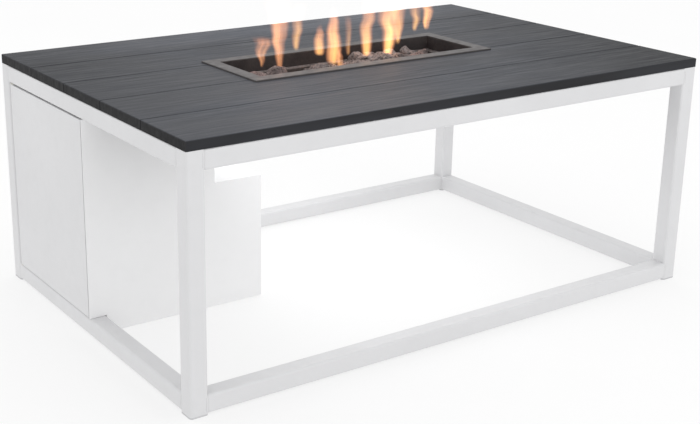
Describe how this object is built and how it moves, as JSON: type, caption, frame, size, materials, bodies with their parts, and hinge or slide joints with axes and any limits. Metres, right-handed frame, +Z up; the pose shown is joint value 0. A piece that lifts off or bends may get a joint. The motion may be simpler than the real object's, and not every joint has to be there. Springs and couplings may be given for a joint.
{
  "type": "fire pit table",
  "caption": "Low rectangular outdoor table on a white tube frame, with a sunken gas burner filled with lava rocks and a cabinet for the gas bottle.",
  "frame": {"origin": "floor level, at the centre of the table's rectangle", "axes": "+X along the table, away from the cabinet end; +Y to the back, where the controls are; +Z up"},
  "size_m": [1.2, 0.78, 0.4885],
  "materials": {
    "white_paint": "satin powder coat",
    "plank_board": "brushed wood look",
    "rim_paint": "matt powder coat",
    "pan_black": "matt heatproof",
    "tray_black": "matt heatproof",
    "burner_steel": "satin",
    "white_ceramic": "fired",
    "copper_brass": "drawn",
    "brass": "machined",
    "cast_aluminium": "cast",
    "bent_aluminium": "drawn",
    "black_rubber": "moulded",
    "lava_stone": "porous",
    "grey_plastic": "moulded",
    "zinc_steel": "zinc plated",
    "nylon": "moulded",
    "plate_steel": "brushed",
    "knob_black": "moulded",
    "button_chrome": "polished"
  },
  "bodies": {
    "table": {"bearer_left": "white_paint", "bearer_right": "white_paint", "bottom_rail_back": "white_paint", "bottom_rail_front": "white_paint", "bottom_rail_left": "white_paint", "bottom_rail_right": "white_paint", "burner_loop": "burner_steel", "burner_pan": "pan_black", "burner_rim": "rim_paint", "cabinet_back": "white_paint", "cabinet_feet": "black_rubber", "cabinet_floor": "white_paint", "cabinet_front": "white_paint", "cabinet_rivets": "white_paint", "column_side": "white_paint", "control_plate": "plate_steel", "door_jamb": "white_paint", "electrode_bracket": "burner_steel", "flame_sensor": "copper_brass", "floor_glides": "grey_plastic", "gas_injector": "brass", "gas_inlet": "brass", "gas_pipe": "bent_aluminium", "gas_valve": "cast_aluminium", "igniter_case": "knob_black", "igniter_nut": "zinc_steel", "injector_nut": "brass", "latch_case": "grey_plastic", "lava_rocks": "lava_stone", "lava_tray": "tray_black", "leg_back_left": "white_paint", "leg_back_right": "white_paint", "leg_front_left": "white_paint", "leg_front_right": "white_paint", "loop_brackets": "burner_steel", "low_box_side": "white_paint", "low_box_top": "white_paint", "panel_screws": "zinc_steel", "pipe_grommet": "black_rubber", "pivot_bushes": "nylon", "plank_back": "plank_board", "plank_centre_left": "plank_board", "plank_centre_right": "plank_board", "plank_front": "plank_board", "plank_middle_back": "plank_board", "plank_middle_front": "plank_board", "plank_screws": "zinc_steel", "spark_electrode": "white_ceramic", "top_rail_back": "white_paint", "top_rail_front": "white_paint", "top_rail_left": "white_paint", "top_rail_right": "white_paint"},
    "door": {"bottle_door": "white_paint", "door_pins": "zinc_steel", "door_strike": "zinc_steel"},
    "latch_plunger": {"latch_plunger": "grey_plastic"},
    "valve_pin": {"safety_pin": "zinc_steel"},
    "knob": {"control_knob": "knob_black", "valve_stem": "zinc_steel"},
    "igniter_button": {"igniter_button": "button_chrome"}
  },
  "joints": [
    {"name": "door_hinge", "type": "hinge", "parent": "table", "child": "door", "pos_m": [-0.592, 0.345, 0.235], "axis": [0, 0, -1], "range_deg": [0, 100]},
    {"name": "latch_slide", "type": "slide", "parent": "table", "child": "latch_plunger", "axis": [1, 0, 0], "range_m": [0, 0.003], "stiffness_N_per_m": 1000},
    {"name": "knob_push", "type": "slide", "parent": "table", "child": "valve_pin", "axis": [0, -1, 0], "range_m": [0, 0.003], "stiffness_N_per_m": 1500},
    {"name": "knob_turn", "type": "hinge", "parent": "valve_pin", "child": "knob", "pos_m": [-0.408, 0.364, 0.385], "axis": [0, 1, 0], "range_deg": [0, 180]},
    {"name": "igniter_push", "type": "slide", "parent": "table", "child": "igniter_button", "axis": [0, -1, 0], "range_m": [0, 0.005], "stiffness_N_per_m": 1500}
  ]
}
